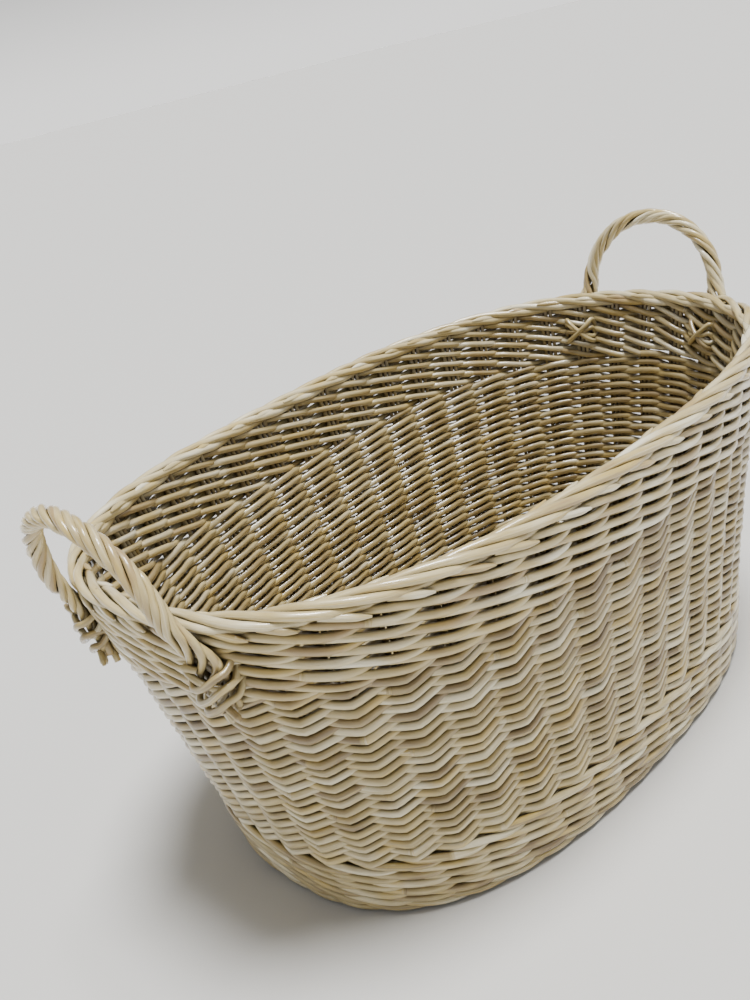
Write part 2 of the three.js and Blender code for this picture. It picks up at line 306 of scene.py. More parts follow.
def wall_frame(stake, height):
    """The wall's point, outward and sideways directions at a stake and a height."""
    turn = (stake / STAKE_COUNT) % 1.0
    along = OVAL_LENGTHS[-1] * (turn - END_CLOSENESS * math.sin(2 * TAU * turn) / (2 * TAU))
    i = max(1, next(k for k, length in enumerate(OVAL_LENGTHS) if length >= along))
    part = (along - OVAL_LENGTHS[i - 1]) / (OVAL_LENGTHS[i] - OVAL_LENGTHS[i - 1])
    angle = TAU * (i - 1 + part) / OVAL_SAMPLES
    near = 0.002
    side = (oval_point(angle + near, RIM_HEIGHT / 2) - oval_point(angle - near, RIM_HEIGHT / 2)).normalized()
    return oval_point(angle, height), side.cross(Vector((0, 0, 1))), side


# --- node trees ------------------------------------------------------------------

def rod_copies(tree, count, amount, cyclic=False):
    """Curves of some points each, and the number of each curve."""
    line = add_node(tree, "GeometryNodeCurvePrimitiveLine")
    run = add_node(tree, "GeometryNodeResampleCurve", inputs={"Curve": line.outputs[0], "Count": count})
    if cyclic:
        run = add_node(tree, "GeometryNodeSetSplineCyclic", inputs={"Geometry": run.outputs[0], "Cyclic": True})
    copies = add_node(tree, "GeometryNodeDuplicateElements", {"domain": "SPLINE"},
                      {"Geometry": run.outputs[0], "Amount": amount})
    return copies.outputs[0], Number(tree, copies.outputs["Duplicate Index"])


def spline_value(tree, name):
    """What the spline parameter node gives: the factor, length or index along a curve."""
    return Number(tree, add_node(tree, "GeometryNodeSplineParameter").outputs[name])


def finish_rods(tree, given, run, place, radius, tone, along, sides, depth=1.0):
    """Moves curves to their place, turns them into smooth round rods that store what the willow's colour follows,
    and ends the tree in Realize Instances and Set Material."""
    if place is not None:
        run = add_node(tree, "GeometryNodeSetPosition", inputs={"Geometry": run, "Position": place}).outputs[0]
    for name, value in (("rod_tone", tone), ("rod_along", along), ("rod_out", depth)):
        run = add_node(tree, "GeometryNodeStoreNamedAttribute", {"data_type": "FLOAT"},
                       {"Geometry": run, "Name": name, "Value": value}).outputs[0]
    circle = add_node(tree, "GeometryNodeCurvePrimitiveCircle", inputs={"Resolution": sides, "Radius": 1.0})
    ring = add_node(tree, "GeometryNodeStoreNamedAttribute", {"data_type": "FLOAT"},
                    {"Geometry": circle.outputs[0], "Name": "rod_around", "Value": spline_value(tree, "Factor")})
    sweep = add_node(tree, "GeometryNodeCurveToMesh",
                     inputs={"Curve": run, "Profile Curve": ring.outputs[0], "Scale": radius, "Fill Caps": True})
    smooth = add_node(tree, "GeometryNodeSetShadeSmooth", inputs={"Geometry": sweep.outputs[0]})
    real = add_node(tree, "GeometryNodeRealizeInstances", inputs={"Geometry": smooth.outputs[0]})
    painted = add_node(tree, "GeometryNodeSetMaterial",
                       inputs={"Geometry": real.outputs[0], "Material": given["Material"]})
    add_node(tree, "NodeGroupOutput", inputs={"Geometry": painted.outputs[0]})


def random_number(tree, number, seed, low=0.0, high=1.0):
    """A fixed random number for each whole number."""
    inputs = {"Min": low, "Max": high, "ID": number, "Seed": seed}
    return Number(tree, add_node(tree, "FunctionNodeRandomValue", {"data_type": "FLOAT"}, inputs).outputs["Value"])


def make_band_tree():
    """Rows of weaving: two rods twined over one stake each, or three waled over two and behind one."""
    own = {
        "Rows": 7.0,
        "First Height": 0.06,
        "Row Pitch": 8 * MM,
        "Rods": 2,
        "Over": 1,
        "Rod Radius": 2.7 * MM,
        "Reach": 4.6 * MM,
        "Sag": 3 * MM,
        "Lay": 1.5 * MM,
        "Straightness": 1.0,
        "Late": 0.0,
        "Taper": 0.2,
        "Rod Stakes": 13.0,
        "Steps": 8,
        "Sides": 8,
        "Unevenness": 0.5 * MM,
        "Seed": 1,
        "Material": MATERIAL,
    }
    tree, given = new_tree("Woven band", {**own, **WALL_SIZES})
    count = given["Rows"] * given["Stake Count"] * given["Steps"] + 1.0
    curves, rod = rod_copies(tree, count, given["Rods"])
    stake = spline_value(tree, "Index") / given["Steps"]
    # Where the rod is in its wave: 0 is the middle of its pass outside, half a turn is inside.
    shift = (given["Over"] - 1.0) * 0.5
    phase = (stake + rod + shift) * TAU / given["Rods"]
    cosine = phase.math("COSINE")
    bias = 0.0 - (given["Over"] * math.pi / given["Rods"]).math("COSINE")
    # A bend is nearly a zigzag with rounded corners; a bow is nearly flat where it passes outside and inside.
    corner, steepness, flat = 0.985, 1.6, 0.92
    bend = (cosine * corner).math("ARCSINE") / math.asin(corner)
    bowed = (((phase - given["Late"]).math("COSINE") + bias) * steepness).math("TANH") / flat
    swing = bowed + (bend - bowed) * given["Straightness"]
    turns = stake / given["Stake Count"]
    row = turns.math("FLOOR")
    climb = add_node(tree, "ShaderNodeMapRange", {"interpolation_type": "SMOOTHSTEP"},
                     {"Value": turns % 1.0, "From Min": 0.94, "From Max": 1.0})
    level = given["First Height"] + given["Row Pitch"] * (row + Number(tree, climb.outputs[0]))
    spot = vector(tree, stake * 0.35, level * 300.0, rod)
    uneven_up = noise_about_zero(tree, spot, given["Seed"], 1.0) * given["Unevenness"]
    uneven_out = noise_about_zero(tree, spot, given["Seed"] + 40.0, 1.0) * given["Unevenness"]
    # A rod is pressed down most where it passes outside, and hardly rises where it passes inside.
    dip = given["Sag"] * (bend * 0.9 + bend.math("ABSOLUTE") * 0.35)
    height = level - dip + given["Lay"] * phase.math("SINE") + uneven_up
    place = wall_place(tree, given, stake, height, given["Reach"] * swing + uneven_out)
    # Each rod runs for some stakes, from its thick end to its thin end, and the next one takes over.
    run = (stake + rod * 5.3) / given["Rod Stakes"]
    number = run.math("FLOOR") * given["Rods"] + rod
    share = run % 1.0
    size = random_number(tree, number, given["Seed"] + 2.0, 0.92, 1.08)
    radius = given["Rod Radius"] * size * (1.0 + given["Taper"] * (0.5 - share))
    tone = random_number(tree, number, given["Seed"])
    along = stake * STAKE_PITCH + rod * ROD_SHIFT
    finish_rods(tree, given, curves, place, radius, tone, along, given["Sides"], swing)


def make_border_tree():
    """Rods laid round a ring like a rope, one starting at each stake: the rim and foot borders."""
    own = {
        "Height": 0.286,
        "Offset": 0.0,
        "Rods": 4,
        "Roll Width": 5.5 * MM,
        "Roll Height": 4 * MM,
        "Rod Radius": 3.5 * MM,
        "Steps": 8,
        "Sides": 10,
        "Unevenness": 0.6 * MM,
        "Seed": 1,
        "Material": MATERIAL,
    }
    tree, given = new_tree("Rolled border", {**own, **WALL_SIZES})
    count = given["Stake Count"] * given["Steps"]
    curves, rod = rod_copies(tree, count, given["Rods"], cyclic=True)
    stake = spline_value(tree, "Index") / given["Steps"]
    phase = (stake + rod) * TAU / given["Rods"]
    angle = stake * (TAU / STAKE_COUNT)
    spot = vector(tree, angle.math("COSINE"), angle.math("SINE"), rod)
    uneven = noise_about_zero(tree, spot, given["Seed"], 9.0) * given["Unevenness"]
    height = given["Height"] + given["Roll Height"] * phase.math("COSINE") + uneven
    offset = given["Offset"] + given["Roll Width"] * phase.math("SINE") + uneven
    place = wall_place(tree, given, stake, height, offset)
    # The colour changes where a rod is underneath, half a turn from the top.
    turned = (stake + rod) / given["Rods"] + 0.5
    tone = random_number(tree, turned.math("FLOOR") * given["Rods"] + rod, given["Seed"])
    share = turned % 1.0
    radius = given["Rod Radius"] * (1.08 - 0.22 * share)
    along = stake * STAKE_PITCH + rod * ROD_SHIFT
    finish_rods(tree, given, curves, place, radius, tone, along, given["Sides"])


def make_stake_tree():
    """The upright stakes: groups of thin rods side by side, inside the weaving."""
    own = {
        "Bottom": 0.01,
        "Top": 0.285,
        "Group": 3,
        "Spacing": 0.1,
        "Rod Radius": 1.8 * MM,
        "Seed": 1,
        "Material": MATERIAL,
    }
    tree, given = new_tree("Stakes", {**own, **WALL_SIZES})
    points = 24
    curves, copy = rod_copies(tree, points, given["Stake Count"] * given["Group"])
    up = spline_value(tree, "Index") / (points - 1.0)
    stake = (copy / given["Group"]).math("FLOOR")
    across = copy % given["Group"] - (given["Group"] - 1.0) * 0.5
    height = given["Bottom"] + (given["Top"] - given["Bottom"]) * up
    spot = vector(tree, copy, height * 8.0, 0.0)
    uneven = noise_about_zero(tree, spot, given["Seed"], 1.0)
    spread = stake + across * given["Spacing"] + uneven * 0.012
    place = wall_place(tree, given, spread, height, uneven * 0.4 * MM)
    tone = random_number(tree, copy, given["Seed"])
    radius = given["Rod Radius"] * random_number(tree, copy, given["Seed"] + 5.0, 0.88, 1.1)
    finish_rods(tree, given, curves, place, radius, tone, height + copy, 7)


def make_rope_tree():
    """Rods twisted round a guide curve: round in the bow, spread flat side by side at the legs."""
    own = {
        "Geometry": GEOMETRY,
        "Rods": 7,
        "Turns": 2.5,
        "Rope Radius": 4.8 * MM,
        "Rod Radius": 2.6 * MM,
        "Leg Share": 0.25,
        "Leg Width": 9 * MM,
        "Steps": 120,
        "Seed": 1,
        "Material": MATERIAL,
    }
    tree, given = new_tree("Twisted handle", own)
    guide = add_node(tree, "GeometryNodeMeshToCurve", inputs={"Mesh": given["Geometry"]})
    curves, rod = rod_copies(tree, given["Steps"], given["Rods"])
    first = random_number(tree, rod, given["Seed"] + 7.0, 0.0, 0.035)
    last = random_number(tree, rod, given["Seed"] + 8.0, 0.965, 1.0)
    along = first + (last - first) * spline_value(tree, "Index") / (given["Steps"] - 1.0)
    # The handle's plane gives a steady outward direction all along it.
    outward = add_node(tree, "GeometryNodeInputNamedAttribute", {"data_type": "FLOAT_VECTOR"}, {"Name": "outward"})
    sample = add_node(tree, "GeometryNodeSampleCurve", {"mode": "FACTOR", "data_type": "FLOAT_VECTOR"},
                      {"Curves": guide.outputs[0], "Value": outward.outputs[0], "Factor": along})
    edge = (0.5 - (along - 0.5).math("ABSOLUTE")) / given["Leg Share"]
    blend = add_node(tree, "ShaderNodeMapRange", {"interpolation_type": "SMOOTHSTEP"},
                     {"Value": edge, "From Min": 0.45, "From Max": 1.15})
    round_share = Number(tree, blend.outputs[0])
    lower = add_node(tree, "ShaderNodeMapRange", {"interpolation_type": "SMOOTHSTEP"},
                     {"Value": edge, "From Min": 0.0, "From Max": 0.4, "To Min": 0.8, "To Max": 1.0})
    crowding = random_number(tree, rod, given["Seed"] + 9.0, -0.055, 0.055)
    phase = (rod / given["Rods"] + crowding + given["Turns"] * (along - 0.5)) * TAU
    flat_width = given["Leg Width"] * Number(tree, lower.outputs[0])
    width = flat_width + (given["Rope Radius"] - flat_width) * round_share
    depth = given["Rope Radius"] * (0.5 + 0.5 * round_share)
    wobble = noise_about_zero(tree, vector(tree, along * 16.0, rod * 3.0, 0.0), given["Seed"], 1.0) * (1.3 * MM)
    out = vector_math(tree, "NORMALIZE", sample.outputs[0], (0, 0, 0))
    side = vector_math(tree, "NORMALIZE",
                       vector_math(tree, "CROSS_PRODUCT", sample.outputs["Tangent"], out), (0, 0, 0))
    move = vector_math(tree, "ADD",
                       vector_math(tree, "SCALE", side, None, width * phase.math("COSINE") + wobble),
                       vector_math(tree, "SCALE", out, None, depth * phase.math("SINE") + wobble))
    place = vector_math(tree, "ADD", sample.outputs["Position"], move)
    tone = random_number(tree, rod, given["Seed"])
    radius = given["Rod Radius"] * random_number(tree, rod, given["Seed"] + 3.0, 0.9, 1.12)
    finish_rods(tree, given, curves, place, radius, tone, along * 0.5 + rod, 10)


def make_rod_tree():
    """Plain rods along given guide curves, tapered by each point's radius."""
    own = {
        "Geometry": GEOMETRY,
        "Rod Radius": 2.4 * MM,
        "Sides": 8,
        "Seed": 1,
        "Material": MATERIAL,
    }
    tree, given = new_tree("Laid rods", own)
    guide = add_node(tree, "GeometryNodeMeshToCurve", inputs={"Mesh": given["Geometry"]})
    stored = [add_node(tree, "GeometryNodeInputNamedAttribute", {"data_type": "FLOAT"}, {"Name": name}).outputs[0]
              for name in ("rod_number", "thickness")]
    rod, thickness = (Number(tree, socket) for socket in stored)
    tone = random_number(tree, rod, given["Seed"])
    along = spline_value(tree, "Length") + rod
    finish_rods(tree, given, guide.outputs[0], None, given["Rod Radius"] * thickness, tone, along, given["Sides"])


def make_ends_tree():
    """One short pointed rod end at each stake, such as the trimmed ends along a border."""
    own = {
        "First Stake": 0.0,
        "Run": 0.6,
        "Height": 0.29,
        "Rise": 3 * MM,
        "Offset": 0.0,
        "Out Run": 4 * MM,
        "Rod Radius": 3 * MM,
        "Seed": 1,
        "Material": MATERIAL,
    }
    tree, given = new_tree("Trimmed ends", {**own, **WALL_SIZES})
    curves, copy = rod_copies(tree, 9, given["Stake Count"])
    share = spline_value(tree, "Factor")
    jitter = random_number(tree, copy, given["Seed"] + 1.0, -0.12, 0.12)
    longer = random_number(tree, copy, given["Seed"] + 2.0, 0.75, 1.2)
    stake = copy + given["First Stake"] + jitter + given["Run"] * share * longer
    height = given["Height"] + given["Rise"] * share * longer
    offset = given["Offset"] + given["Out Run"] * share * longer
    place = wall_place(tree, given, stake, height, offset)
    point = add_node(tree, "ShaderNodeMapRange", {"interpolation_type": "LINEAR"},
                     {"Value": share, "From Min": 0.7, "From Max": 1.0, "To Min": 1.0, "To Max": 0.3})
    radius = given["Rod Radius"] * Number(tree, point.outputs[0])
    tone = random_number(tree, copy, given["Seed"])
    finish_rods(tree, given, curves, place, radius, tone, share * 0.03 + copy, 8)


def make_base_tree():
    """The floor of the basket: oval rounds of weaving, over and under, one inside the next."""
    own = {
        "Rounds": 26,
        "Round Pitch": 5.7 * MM,
        "Edge": 10.5 * MM,
        "Height": 14 * MM,
        "Wave Height": 3 * MM,
        "Rod Radius": 2.6 * MM,
        "Steps": 5,
        "Sides": 6,
        "Seed": 1,
        "Material": MATERIAL,
    }
    tree, given = new_tree("Woven base", {**own, **WALL_SIZES})
    curves, ring = rod_copies(tree, given["Stake Count"] * given["Steps"], given["Rounds"], cyclic=True)
    stake = spline_value(tree, "Index") / given["Steps"]
    inward = given["Edge"] + given["Round Pitch"] * ring
    edge = wall_place(tree, given, stake, given["Height"], 0.0)
    parts = add_node(tree, "ShaderNodeSeparateXYZ", inputs={0: edge})
    # Rounds near the middle pass over two sticks at a time, so their waves stay long.
    wave_count = 1.0 - 0.5 * (ring.math("GREATER_THAN", 7.0))
    phase = (stake * wave_count + ring) * math.pi
    x = Number(tree, parts.outputs[0]) * (1.0 - inward / given["Foot Half Length"])
    y = Number(tree, parts.outputs[1]) * (1.0 - inward / given["Foot Half Width"])
    spot = vector(tree, x * 30.0, y * 30.0, ring)
    uneven = noise_about_zero(tree, spot, given["Seed"], 1.0) * (0.5 * MM)
    z = given["Height"] + given["Wave Height"] * phase.math("COSINE") + uneven
    number = (stake / 11.0 + ring * 0.37).math("FLOOR") + ring * 9.0
    tone = random_number(tree, number, given["Seed"])
    finish_rods(tree, given, curves, vector(tree, x, y, z), given["Rod Radius"], tone, stake * 0.03 + ring,
                given["Sides"], phase.math("COSINE") * 0.4)


# --- guides given point by point -------------------------------------------------

def smooth_path(points, steps):
    """A Catmull-Rom line through vectors of any size."""
    ends = [points[0] * 2 - points[1]] + points + [points[-1] * 2 - points[-2]]
    path = []
    for i in range(1, len(ends) - 2):
        a, b, c, d = ends[i - 1:i + 3]
        for k in range(steps):
            t = k / steps
            path.append(0.5 * (2 * b + (c - a) * t + (2 * a - 5 * b + 4 * c - d) * t ** 2
                               + (3 * b - a - 3 * c + d) * t ** 3))
    return path + [points[-1]]


def guide_object(name, paths, attributes):
    """An object of edges along paths, with numbers or vectors stored on their points."""
    mesh = bpy.data.meshes.new(name)
    points = []
    edges = []
    for path in paths:
        edges += [(len(points) + i, len(points) + i + 1) for i in range(len(path) - 1)]
        points += path
    mesh.from_pydata([tuple(p) for p in points], edges, [])
    for label, values in attributes.items():
        if isinstance(values[0], Vector):
            layer = mesh.attributes.new(label, "FLOAT_VECTOR", "POINT")
            layer.data.foreach_set("vector", [c for v in values for c in v])
        else:
            layer = mesh.attributes.new(label, "FLOAT", "POINT")
            layer.data.foreach_set("value", values)
    return bpy.data.objects.new(name, mesh)


def rod_guides(name, paths, thicknesses):
    """Guides for the laid rods: each path has its number, and each point its thickness."""
    numbers = [float(i) for i, path in enumerate(paths) for point in path]
    return guide_object(name, paths, {"rod_number": numbers, "thickness": thicknesses})


def handle_guide(end, settings):
    """The middle line of a handle: up one leg, over the bow and down the other leg."""
    first = end * STAKE_COUNT / 2 - HANDLE_STAKE
    second = end * STAKE_COUNT / 2 + HANDLE_STAKE
    lowest, top = (corner.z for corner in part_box("handle_right"))
    outward = 1 if end == 0 else -1
    legs = []
    for stake in (first, second):
        leg = []
        for above, offset in LEG_OFFSETS:
            point, out = wall_frame(stake, lowest + above)[:2]
            leg.append((point + out * offset * MM, out))
        legs.append(leg)
    feet = []
    for stake, inward in ((first, 1), (second, -1)):
        point, out, side = wall_frame(stake, RIM_HEIGHT)
        feet.append(point + (out * BOW_FOOT_OUT + side * inward * BOW_FOOT_IN) * MM)
    a, b = feet
    lean = math.radians(settings.handle_lean)
    middle = (a + b) / 2
    rise = Vector((outward * math.sin(lean), 0, math.cos(lean)))
    rise *= (top - RIM_HEIGHT - settings.handle_thickness / 2) / math.cos(lean)
    face = rise.cross(Vector((0, 1, 0))).normalized()
    face *= 1 if face.x * outward > 0 else -1
    bow = []
    for i in range(13):
        angle = math.pi * i / 12
        bow.append((middle + (a - middle) * math.cos(angle) + rise * math.sin(angle), face))
    whole = legs[0] + bow + legs[1][::-1]
    path = smooth_path([p for p, face in whole], 6)
    faces = smooth_path([f for p, f in whole], 6)
    return guide_object("handle guide", [path], {"outward": faces})


def tie_paths(stake):
    """One lashing: slanted turns round a leg and through the wall, crossing on both faces."""
    # How far out and in the turns reach, and half their width, in millimetres.
    outer, inner, half = 21.5, -11.0, 15.0
    # Heights at the left and right outside, then at the right and left inside, and how proud the turn lies.
    turns = ((248, 260, 270, 247, 0.8), (237, 250, 248, 269, 1.8), (227, 240, 258, 260, 0.2),
             (260, 250, 266, 252, -1.0))
    paths = []
    for left, right, right_inside, left_inside, proud in turns:
        through_right = (right + right_inside) / 2
        through_left = (left + left_inside) / 2
        ring = ((-half, 3, through_left), (-half * 1.02, outer - 8, left + 1), (-half * 0.7, outer - 1, left - 1),
                (0, outer + 1, (left + right) / 2 - 3), (half * 0.7, outer - 1, right - 2),
                (half * 1.02, outer - 8, right), (half, 3, through_right), (half * 0.9, inner + 5, right_inside),
                (half * 0.45, inner + 0.5, (right_inside * 3 + left_inside) / 4),
                (-half * 0.45, inner + 0.5 - proud, (right_inside + left_inside * 3) / 4),
                (-half * 0.9, inner + 5, left_inside), (-half, 3, through_left))
        corners = []
        for across, offset, height in ring:
            point, out, side = wall_frame(stake, height * MM)
            reach = offset + (proud if offset > 6 else 0)
            corners.append(point + out * reach * MM + side * across * MM)
        paths.append(smooth_path(corners, 4))
    # The three cut tails of the lashing.
    for across, low, away in ((12, 230, 3), (-11, 262, 3), (4, 226, 2)):
        tail = []
        for share in (0.0, 0.35, 0.7, 1.0):
            point, out, side = wall_frame(stake, (low - 8 * share * (1 if across > 0 else -0.6)) * MM)
            tail.append(point + out * (outer - 3 + away * share) * MM + side * across * (0.3 + share * 0.75) * MM)
        paths.append(smooth_path(tail, 3))
    return paths


# --- finishes --------------------------------------------------------------------

def willow(name, tints, gloss, inside_shade_and_age_strength):
    """Peeled and lacquered willow: cream to straw rods, each its own tone, streaked along its length, with a thin
    hard gloss on top; where a rod passes inside the wall it is browner, partly painted shade and partly dust and old
    lacquer."""
    material = bpy.data.materials.new(name)
    material.use_nodes = True
    tree = material.node_tree
    tree.nodes.clear()
    tone, along, around, depth = (
        Number(tree, add_node(tree, "ShaderNodeAttribute", {"attribute_name": name}).outputs["Fac"])
        for name in ("rod_tone", "rod_along", "rod_around", "rod_out"))
    turn = around * TAU
    ring = (turn.math("COSINE"), turn.math("SINE"))
    # Patches about 45 mm long, streaks about 1 mm wide and 12 mm long, and bud scars about 70 mm apart.
    patch_place = vector(tree, ring[0] * 0.3, ring[1] * 0.3, along / (45 * MM))
    streak_place = vector(tree, ring[0] * 2.6, ring[1] * 2.6, along / (12 * MM))
    scar_place = vector(tree, ring[0] * 0.8, ring[1] * 0.8, along / (9 * MM))
    seed = tone * 37.0
    patch = noise_about_zero(tree, patch_place, seed, 1.0, 2.0)
    yellow_patch = noise_about_zero(tree, patch_place, seed + 11.0, 1.0, 1.0)
    streak = noise_about_zero(tree, streak_place, seed, 1.0, 3.0)
    scar = noise_about_zero(tree, scar_place, seed + 5.0, 1.0)
    shade = tone * 0.74 + 0.13 + patch * 0.85 + streak * 0.26
    ramp = add_node(tree, "ShaderNodeValToRGB", inputs={0: shade})
    elements = ramp.color_ramp.elements
    elements[0].position = 0.0
    elements[0].color = linear(tints[0])
    elements[1].position = 1.0
    elements[1].color = linear(tints[-1])
    for i, tint in enumerate(tints[1:-1], start=1):
        elements.new(i / (len(tints) - 1)).color = linear(tint)
    straw = add_node(tree, "ShaderNodeMapRange", {"interpolation_type": "SMOOTHSTEP"},
                     {"Value": yellow_patch, "From Min": 0.02, "From Max": 0.5, "To Max": 0.75})
    sunned = add_node(tree, "ShaderNodeMix", {"data_type": "RGBA", "blend_type": "MIX"},
                      {"Factor": straw.outputs[0], 6: ramp.outputs[0], 7: linear("#ccb062")})
    # Painted shade, partly dust and old lacquer as well: the colour turns browner where a rod passes inside the wall.
    inside_shade_and_age_mask = add_node(tree, "ShaderNodeMapRange", {"interpolation_type": "SMOOTHSTEP"},
                      {"Value": depth + patch * 0.25, "From Min": 0.4, "From Max": -1.0, "To Max": inside_shade_and_age_strength})
    inside_shaded_and_aged = add_node(tree, "ShaderNodeMix", {"data_type": "RGBA", "blend_type": "MIX"},
                    {"Factor": inside_shade_and_age_mask.outputs[0], 6: sunned.outputs[2], 7: linear("#8d7a50")})
    scarred = add_node(tree, "ShaderNodeMapRange", {}, {"Value": scar, "From Min": 0.52, "From Max": 0.66,
                                                        "To Max": 0.6})
    colour = add_node(tree, "ShaderNodeMix", {"data_type": "RGBA", "blend_type": "MIX"},
                      {"Factor": scarred.outputs[0], 6: inside_shaded_and_aged.outputs[2], 7: linear("#7c5b34")})
    # Painted shade, partly dust as well: the colour darkens to dark brown in the narrow gaps between rods that touch,
    # where ambient occlusion finds them.
    crevice = add_node(tree, "ShaderNodeAmbientOcclusion", {"samples": 4}, {"Distance": 9 * MM})
    crevice_shade_and_dust = add_node(tree, "ShaderNodeMapRange", {},
                     {"Value": crevice.outputs["AO"], "From Min": 0.62, "From Max": 0.15, "To Max": 0.9})
    colour = add_node(tree, "ShaderNodeMix", {"data_type": "RGBA", "blend_type": "MIX"},
                      {"Factor": crevice_shade_and_dust.outputs[0], 6: colour.outputs[2], 7: linear("#43351d")})
    rough = add_node(tree, "ShaderNodeMapRange", {},
                     {"Value": streak, "From Min": -0.6, "From Max": 0.6,
                      "To Min": gloss - 0.05, "To Max": gloss + 0.1})
    bump = add_node(tree, "ShaderNodeBump", inputs={"Strength": 0.5, "Distance": 0.25 * MM, "Height": streak + patch})
    shader = add_node(tree, "ShaderNodeBsdfPrincipled", inputs={
        "Base Color": colour.outputs[2], "Roughness": rough.outputs[0], "IOR": 1.5, "Coat Weight": 1.0,
        "Coat Roughness": 0.14, "Normal": bump.outputs[0]})
    add_node(tree, "ShaderNodeOutputMaterial", inputs={"Surface": shader.outputs[0]})


def studio_paper():
    """Matt background paper: an even pale grey with a faint tooth."""
    material = bpy.data.materials.new("studio_paper_matt")
    material.use_nodes = True
    tree = material.node_tree
    tree.nodes.clear()
    place = add_node(tree, "ShaderNodeTexCoord").outputs["Object"]
    tooth = add_node(tree, "ShaderNodeTexNoise", inputs={"Vector": place, "Scale": 400.0})
    bump = add_node(tree, "ShaderNodeBump", inputs={"Strength": 0.1, "Distance": 0.2 * MM, "Height": tooth.outputs[0]})
    shader = add_node(tree, "ShaderNodeBsdfPrincipled", inputs={
        "Base Color": linear("#cecdca"), "Roughness": 0.85, "Normal": bump.outputs[0]})
    add_node(tree, "ShaderNodeOutputMaterial", inputs={"Surface": shader.outputs[0]})
    return material


# --- making pieces ---------------------------------------------------------------

def plain_piece(name, tree_name, inputs, source=None):
    """Runs a node tree on an object, or on nothing, and keeps the result as a plain mesh object."""
    source = source or bpy.data.objects.new(name, bpy.data.meshes.new(name))
    tree = bpy.data.node_groups[tree_name]
    bpy.context.scene.collection.objects.link(source)
    modifier = source.modifiers.new(tree_name, "NODES")
    modifier.node_group = tree
    ids = {item.name: item.identifier for item in tree.interface.items_tree
           if item.item_type == "SOCKET" and item.in_out == "INPUT"}
    for label, value in inputs.items():
        modifier[ids[label]] = value
    graph = bpy.context.evaluated_depsgraph_get()
    mesh = bpy.data.meshes.new_from_object(source.evaluated_get(graph))
    source.modifiers.remove(modifier)
    bpy.data.objects.remove(source)
    mesh.name = name
    piece = bpy.data.objects.new(name, mesh)
    bpy.context.scene.collection.objects.link(piece)
    return piece


def settle(piece, slot, *nodes):
    """Hangs a finished piece on the body it rides on and hides the frame parts it stands for; its slot is not used."""
    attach(piece, BODY)
    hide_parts(*nodes)


def length_setting(name, description, default):
    """A setting that is a length in metres."""
    return bpy.props.FloatProperty(name=name, description=description, default=default, unit="LENGTH")


class BasketWeave(bpy.types.PropertyGroup):
    """Sizes of the rods and of the weaving."""

    siding_rows: bpy.props.IntProperty(
        name="Siding rows", description="Rounds of pairing between foot and waling", default=21, min=3)
    siding_rod: length_setting(
        "Siding rod", "Thickness of a siding rod", 6.7 * MM)
    siding_reach: length_setting(
        "Siding reach", "How far a siding rod bulges round a stake", 4.2 * MM)
    siding_sag: length_setting(
        "Siding sag", "How far a siding rod is pressed down in front of a stake", 3.0 * MM)
    wale_rows: bpy.props.IntProperty(
        name="Top waling rows", description="Rounds of three-rod waling below the border", default=5, min=1)
    wale_rod: length_setting(
        "Waling rod", "Thickness of a waling rod", 6.1 * MM)
    foot_rows: bpy.props.IntProperty(
        name="Foot rows", description="Rounds of three-rod waling in the foot band", default=5, min=1)
    foot_rod: length_setting(
        "Foot rod", "Thickness of a rod in the foot band", 6.6 * MM)
    foot_border: length_setting(
        "Foot border", "Height of the rolled edge on the floor", 11 * MM)
    border_rod: length_setting(
        "Border rod", "Thickness of a rod in the rim border", 6.8 * MM)
    stake_rod: length_setting(
        "Stake rod", "Thickness of one upright rod", 4.4 * MM)
    handle_thickness: length_setting(
        "Handle thickness", "Thickness of the twisted handle", 15 * MM)
    handle_rods: bpy.props.IntProperty(
        name="Handle rods", description="Rods twisted together in a handle", default=6, min=3)
    handle_turns: bpy.props.FloatProperty(
        name="Right handle turns", description="Turns of the right handle's twist", default=4.5)
    left_handle_turns: bpy.props.FloatProperty(
        name="Left handle turns", description="Turns of the left handle's twist, the other way round", default=-5.6)
    handle_lean: bpy.props.FloatProperty(
        name="Handle lean", description="Outward lean of the handles in degrees", default=10.5)


class BasketStudio(bpy.types.PropertyGroup):
    """Light and camera."""

    key_power: bpy.props.FloatProperty(
        name="Key light", description="Strength of the far, soft, sun-like light", default=5.8)
    fill_power: bpy.props.FloatProperty(
        name="Fill light", description="Power of the light on the shaded side", default=5.0, unit="POWER")
    sky: bpy.props.FloatProperty(
        name="Sky", description="Strength of the even light from all round", default=0.46)
    lens: bpy.props.FloatProperty(
        name="Lens", description="Focal length of the camera", default=37.39, subtype="DISTANCE_CAMERA")


PALE = ("#ab9264", "#beaa75", "#d0bf8e", "#ddd0a8", "#f0e8cb")
SIDING = ("#86714a", "#a38f5e", "#b9a774", "#ccbd92", "#e0d6b4")
STAKE = ("#8f7a50", "#a18d62", "#b19f73", "#bdad83", "#c9bb97")


class BASKET_OT_prepare(bpy.types.Operator):
    """Makes the node trees and the finishes that the pieces share"""

    bl_idname = "basket.prepare"
    bl_label = "Prepare trees and finishes"

    def execute(self, context):
        make_wall_group()
        make_band_tree()
        make_border_tree()
        make_stake_tree()
        make_rope_tree()
        make_rod_tree()
        make_ends_tree()
        make_base_tree()
        willow("willow_peeled_lacquered", SIDING, 0.36, 0.55)
        willow("willow_pale_glossy", PALE, 0.3, 0.45)
        willow("willow_stake_browned", STAKE, 0.42, 0.0)
        return {"FINISHED"}


